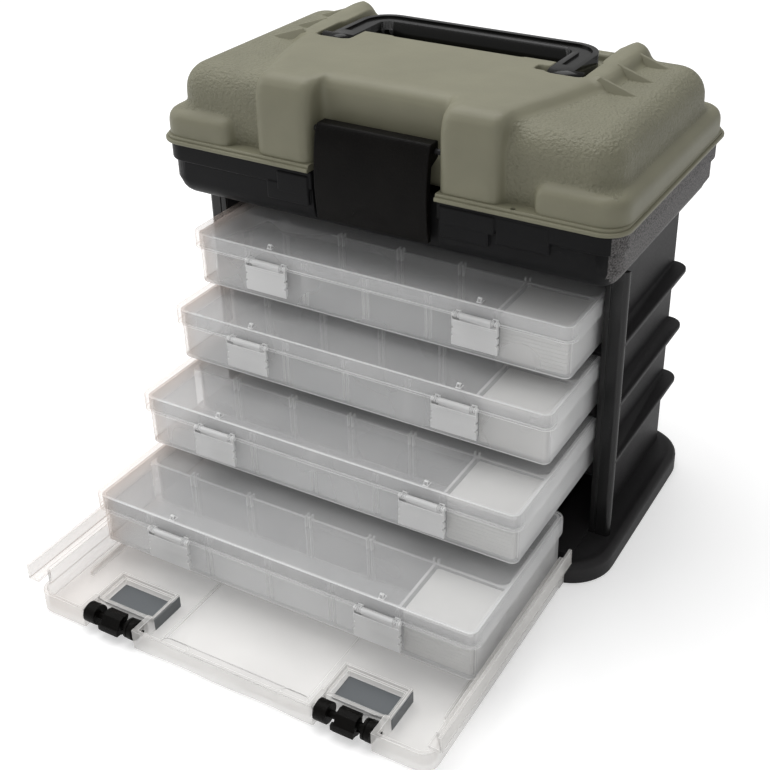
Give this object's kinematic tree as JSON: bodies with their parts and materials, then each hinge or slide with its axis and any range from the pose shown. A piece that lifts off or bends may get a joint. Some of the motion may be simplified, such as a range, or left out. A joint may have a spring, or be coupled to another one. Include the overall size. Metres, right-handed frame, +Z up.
{
  "type": "fishing tackle cabinet",
  "caption": "Portable tackle cabinet: a rack of clear sliding utility boxes on a wide foot, a drop-down clear door, and a lidded tub with front latch and bail handle on top.",
  "frame": {"origin": "centre of the underside of the foot, on the floor", "axes": "+Z up, the boxes and the door come out towards -Y, +X is the right-hand side seen from the front"},
  "size_m": [0.2718, 0.3258, 0.2565],
  "materials": {
    "charcoal": "lightly textured",
    "black_tub": "satin, pebbled at the sides",
    "olive": "matt, pebbled",
    "black_latch": "fine texture",
    "black_gloss": "glossy",
    "clear_box": "translucent",
    "frosted_latch": "frosted",
    "clear_door": "translucent",
    "white_divider": "milky",
    "steel": "plain"
  },
  "bodies": {
    "cabinet": {"foot": "charcoal", "side_panel_left": "charcoal", "side_panel_right": "charcoal", "back_panel": "charcoal", "tub": "black_tub", "rack_screws": "steel", "lid_hinge_pins": "steel", "door_hinge_pins": "steel"},
    "lid": {"lid_shell": "olive", "lid_latch_pin": "steel"},
    "lid_latch": {"lid_latch": "black_latch"},
    "carry_handle": {"carry_handle": "black_gloss"},
    "front_door": {"front_door": "clear_door"},
    "door_latch_left": {"door_latch_left": "black_latch"},
    "door_latch_right": {"door_latch_right": "black_latch"},
    "box_1": {"box_1_tray": "clear_box", "box_1_lid": "clear_box", "box_1_dividers": "white_divider"},
    "box_1_latch_left": {"box_1_latch_left": "frosted_latch"},
    "box_1_latch_right": {"box_1_latch_right": "frosted_latch"},
    "box_2": {"box_2_tray": "clear_box", "box_2_lid": "clear_box", "box_2_dividers": "white_divider"},
    "box_2_latch_left": {"box_2_latch_left": "frosted_latch"},
    "box_2_latch_right": {"box_2_latch_right": "frosted_latch"},
    "box_3": {"box_3_tray": "clear_box", "box_3_lid": "clear_box", "box_3_dividers": "white_divider"},
    "box_3_latch_left": {"box_3_latch_left": "frosted_latch"},
    "box_3_latch_right": {"box_3_latch_right": "frosted_latch"},
    "box_4": {"box_4_tray": "clear_box", "box_4_lid": "clear_box", "box_4_dividers": "white_divider"},
    "box_4_latch_left": {"box_4_latch_left": "frosted_latch"},
    "box_4_latch_right": {"box_4_latch_right": "frosted_latch"}
  },
  "joints": [
    {"name": "lid_hinge", "type": "hinge", "parent": "cabinet", "child": "lid", "pos_m": [0, 0.09815, 0.2063], "axis": [-1, 0, 0], "range_deg": [0, 105]},
    {"name": "lid_latch_hinge", "type": "hinge", "parent": "lid", "child": "lid_latch", "pos_m": [0, -0.06125, 0.2283], "axis": [-1, 0, 0], "range_deg": [0, 90]},
    {"name": "handle_pivot", "type": "hinge", "parent": "lid", "child": "carry_handle", "pos_m": [0, 0.01245, 0.2488], "axis": [1, 0, 0], "range_deg": [0, 95]},
    {"name": "door_hinge", "type": "hinge", "parent": "cabinet", "child": "front_door", "pos_m": [0, -0.06855, 0.0042], "axis": [-1, 0, 0], "range_deg": [0, 3]},
    {"name": "door_latch_left_pivot", "type": "hinge", "parent": "front_door", "child": "door_latch_left", "pos_m": [-0.07, -0.21735, 0.008], "axis": [-1, 0, 0], "range_deg": [0, 60]},
    {"name": "door_latch_right_pivot", "type": "hinge", "parent": "front_door", "child": "door_latch_right", "pos_m": [0.07, -0.21735, 0.008], "axis": [-1, 0, 0], "range_deg": [0, 60]},
    {"name": "box_1_slide", "type": "slide", "parent": "cabinet", "child": "box_1", "axis": [0, -1, 0], "range_m": [-0.035, 0.06]},
    {"name": "box_1_latch_left_hinge", "type": "hinge", "parent": "box_1", "child": "box_1_latch_left", "pos_m": [-0.0635, -0.07665, 0.1502], "axis": [-1, 0, 0], "range_deg": [0, 85]},
    {"name": "box_1_latch_right_hinge", "type": "hinge", "parent": "box_1", "child": "box_1_latch_right", "pos_m": [0.0635, -0.07665, 0.1502], "axis": [-1, 0, 0], "range_deg": [0, 85]},
    {"name": "box_2_slide", "type": "slide", "parent": "cabinet", "child": "box_2", "axis": [0, -1, 0], "range_m": [-0.057, 0.038]},
    {"name": "box_2_latch_left_hinge", "type": "hinge", "parent": "box_2", "child": "box_2_latch_left", "pos_m": [-0.0635, -0.09865, 0.1123], "axis": [-1, 0, 0], "range_deg": [0, 85]},
    {"name": "box_2_latch_right_hinge", "type": "hinge", "parent": "box_2", "child": "box_2_latch_right", "pos_m": [0.0635, -0.09865, 0.1123], "axis": [-1, 0, 0], "range_deg": [0, 85]},
    {"name": "box_3_slide", "type": "slide", "parent": "cabinet", "child": "box_3", "axis": [0, -1, 0], "range_m": [-0.091, 0.004]},
    {"name": "box_3_latch_left_hinge", "type": "hinge", "parent": "box_3", "child": "box_3_latch_left", "pos_m": [-0.0635, -0.13265, 0.0744], "axis": [-1, 0, 0], "range_deg": [0, 85]},
    {"name": "box_3_latch_right_hinge", "type": "hinge", "parent": "box_3", "child": "box_3_latch_right", "pos_m": [0.0635, -0.13265, 0.0744], "axis": [-1, 0, 0], "range_deg": [0, 85]},
    {"name": "box_4_slide", "type": "slide", "parent": "cabinet", "child": "box_4", "axis": [0, -1, 0], "range_m": [-0.1355, 0]},
    {"name": "box_4_latch_left_hinge", "type": "hinge", "parent": "box_4", "child": "box_4_latch_left", "pos_m": [-0.0635, -0.17715, 0.0365], "axis": [-1, 0, 0], "range_deg": [0, 85]},
    {"name": "box_4_latch_right_hinge", "type": "hinge", "parent": "box_4", "child": "box_4_latch_right", "pos_m": [0.0635, -0.17715, 0.0365], "axis": [-1, 0, 0], "range_deg": [0, 85]}
  ]
}
